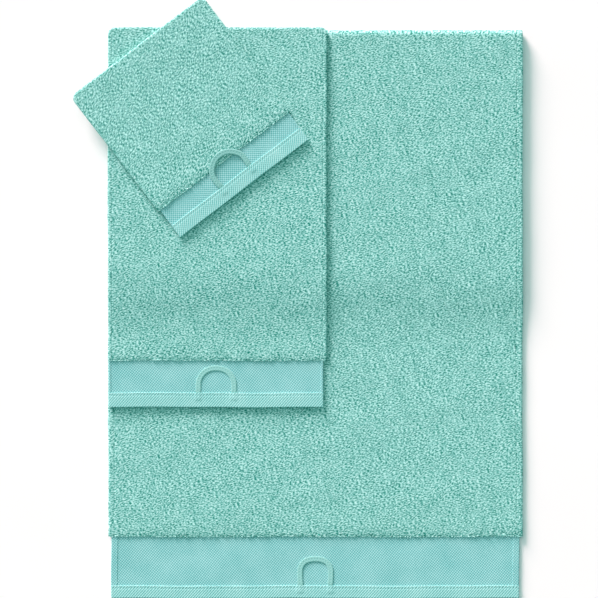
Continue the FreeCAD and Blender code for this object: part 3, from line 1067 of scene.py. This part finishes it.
def ramp(tree, factor, stops):
    """A colour ramp from (place, colour) pairs."""
    made = node(tree, "ShaderNodeValToRGB", {"Fac": factor})
    elements = made.color_ramp.elements
    while len(elements) < len(stops):
        elements.new(0.5)
    for element, (at, colour) in zip(elements, stops):
        element.position = at
        element.color = (*colour, 1.0)
    return made.outputs["Color"]


def cloth_place(tree):
    """The cloth coordinates, in metres."""
    return node(tree, "ShaderNodeUVMap", uv_map="cloth").outputs["UV"]


def vector_node(tree, operation, first, second):
    """A node for an operation on two vectors."""
    return node(tree, "ShaderNodeVectorMath", {0: first, 1: second}, operation=operation)


def noise_node(tree, vector, scale, detail):
    """A node of soft random patches."""
    inputs = {"Vector": vector, "Scale": scale, "Detail": detail}
    return node(tree, "ShaderNodeTexNoise", inputs, noise_dimensions="2D")


def noise(tree, vector, scale, detail=2.0):
    """Soft random patches, from 0 to 1."""
    return noise_node(tree, vector, scale, detail).outputs["Fac"]


def cells(tree, vector):
    """Distance to the nearest of scattered centres, about 0 to 0.7, in cells."""
    inputs = {"Vector": vector, "Scale": 1.0, "Randomness": YARN_SCATTER}
    made = node(tree, "ShaderNodeTexVoronoi", inputs, voronoi_dimensions="2D", feature="F1")
    return made.outputs["Distance"]


def weighted_sum(tree, patterns, weights):
    """Sum of the named patterns, each times its weight."""
    total = 0.0
    for name, weight in weights.items():
        part = math_node(tree, "MULTIPLY", patterns[name], weight)
        total = math_node(tree, "ADD", part, total)
    return total


def combed_place(tree):
    """The cloth coordinates, turned so that x runs along the pile's streaks, which wander."""
    flat = cloth_place(tree)
    sway = noise_node(tree, flat, COMB_SWAY_SCALE, 1.0).outputs["Color"]
    shift = vector_node(tree, "MULTIPLY", sway, (COMB_SWAY, COMB_SWAY, 0.0)).outputs[0]
    swayed = vector_node(tree, "ADD", flat, shift).outputs[0]
    inputs = {"Vector": swayed, "Rotation": (0.0, 0.0, math.radians(COMB_ANGLE))}
    return node(tree, "ShaderNodeMapping", inputs).outputs["Vector"]


def streaked(tree, vector, cell_counts):
    """Coordinates in cells, from the cells to a metre along and across the streaks."""
    return vector_node(tree, "MULTIPLY", vector, (*cell_counts, 1.0)).outputs[0]


def pile_material(name):
    """Terry pile: short streaks of yarn loops, with painted shade between them and painted highlights
    at their tips.
    """
    material, tree, surface = new_material(name, PILE_SURFACE)
    combed = combed_place(tree)
    patterns = {
        "tuft": node(tree, "ShaderNodeAttribute", attribute_name="tuft").outputs["Fac"],
        "streak": noise(tree, streaked(tree, combed, STREAK_CELLS), 1.0, 0.0),
        "yarn": cells(tree, streaked(tree, combed, YARN_CELLS)),
        "grain": noise(tree, combed, GRAIN_SCALE, 1.0),
        "patch": noise(tree, combed, PATCH_SCALE),
    }
    # the tone follows the bump's heights: painted shade in the hollows and painted highlights on the
    # tips, over random patches of real tone
    tone = math_node(tree, "ADD", weighted_sum(tree, patterns, PILE_TONE), PILE_TONE_SHIFT)
    height = weighted_sum(tree, patterns, PILE_BUMP)
    colour = ramp(tree, tone, PILE_COLOURS_WITH_PAINTED_SHADE)
    connect(tree, surface, colour, height, PILE_BUMP_STRENGTH, PILE_BUMP_DISTANCE)
    return material


def stripes(tree, angle, pitch):
    """Parallel threads at an angle in degrees from x and a pitch in metres, from 0 to 1."""
    turn = math.radians(angle)
    step = 2 * math.pi / pitch
    normal = (-math.sin(turn) * step, math.cos(turn) * step, 0.0)
    across = vector_node(tree, "DOT_PRODUCT", cloth_place(tree), normal).outputs["Value"]
    wave = math_node(tree, "COSINE", across)
    inputs = {0: wave, 1: 0.5, 2: 0.5}
    return node(tree, "ShaderNodeMath", inputs, operation="MULTIPLY_ADD").outputs[0]


def weave_material(name, weave):
    """Twill: ribs at an angle, crossed by finer threads, with soft unevenness."""
    material, tree, surface = new_material(name, WEAVE_SURFACE)
    flat = cloth_place(tree)
    patterns = {
        "rib": stripes(tree, weave.angle, RIB_PITCH * MM),
        "cross": stripes(tree, weave.cross_angle, RIB_PITCH * MM),
        "fine": noise(tree, flat, FINE_SCALE),
        "blotch": noise(tree, flat, BLOTCH_SCALE, 3.0),
    }
    weights = {
        "rib": weave.ribs,
        "cross": weave.crossing,
        "fine": FINE_WEIGHT,
        "blotch": BLOTCH_WEIGHT,
    }
    middle = 0.5 - sum(weights.values()) / 2
    tone = math_node(tree, "ADD", weighted_sum(tree, patterns, weights), middle)
    colour = ramp(tree, tone, [(0.0, weave.dark), (1.0, weave.light)])
    height = weighted_sum(tree, patterns, WEAVE_BUMP)
    connect(tree, surface, colour, height, WEAVE_BUMP_STRENGTH, WEAVE_BUMP_DISTANCE)
    return material


def floor_material():
    """Plain pale studio paper."""
    material, tree, surface = new_material("floor", FLOOR_SURFACE)
    spot = node(tree, "ShaderNodeTexCoord").outputs["Object"]
    colour = ramp(tree, noise(tree, spot, FLOOR_SCALE), FLOOR_TONES)
    tree.links.new(colour, surface.inputs["Base Color"])
    return material


def make_materials():
    """Every finish of the set by its slot."""
    finishes = {slot: pile_material(slot) for slot in ("pile", "side_hem_cloth")}
    for slot, weave in WEAVES.items():
        finishes[slot] = weave_material(slot, weave)
    return finishes


# The set


def add_piece(towel, part, shape, materials, slot, nodes):
    """A piece that rides on its towel and stands for the CAD nodes of those parts."""
    piece = make_piece(f"{towel.name}_{part}", shape, materials[slot])
    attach(piece, towel.body)
    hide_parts(*[f"{towel.name}_{part_node}" for part_node in nodes])
    return piece


def add_loop(towel, materials):
    """The hanging loop, which comes up out of the hem."""
    shape, path = strap_shape(towel)
    piece = make_piece(f"{towel.name}_strap", shape, materials["strap"])
    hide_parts(f"{towel.name}_loop", f"{towel.name}_loop_ends")
    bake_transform(piece)


def add_towel(towel, materials):
    """All pieces of one towel; it gives back the terry."""
    pile = add_piece(towel, "terry", pile_shape(towel), materials, "pile", ["pile"])
    parts = [
        ("twill_border", border_shape, "weave", ["border"]),
        ("foot_hem", end_hem_shape, "hem_cloth", ["end_hem"]),
        ("foot_stitching", hem_stitch_shape, "thread", ["hem_stitches"]),
        ("side_stitching", side_stitch_shape, "thread", ["side_stitches"]),
        ("head_stitching", head_stitch_shape, "thread", ["head_stitches"]),
        ("head_edge", head_hem_shape, "pile", ["head_hem"]),
        ("loose_loops", fringe_shape, "pile", []),
    ]
    sewn = [
        add_piece(towel, part, make_shape(towel), materials, slot, nodes)
        for part, make_shape, slot, nodes in parts
    ]
    for side in ("left", "right"):
        hem = side_hem_shape(towel, side == "left")
        band = side_band_shape(towel, side == "left")
        nodes = [f"{side}_side_hem"]
        sewn.append(add_piece(towel, f"{side}_edge", hem, materials, "side_hem_cloth", nodes))
        sewn.append(add_piece(towel, f"{side}_border_edge", band, materials, "weave", []))
    return pile


make_camera()
make_studio()
finishes = make_materials()
for each in (BATH, HAND, WASHCLOTH):
    add_loop(each, finishes)
bath_pile = add_towel(BATH, finishes)
hand_pile = add_towel(HAND, finishes)
add_towel(WASHCLOTH, finishes)
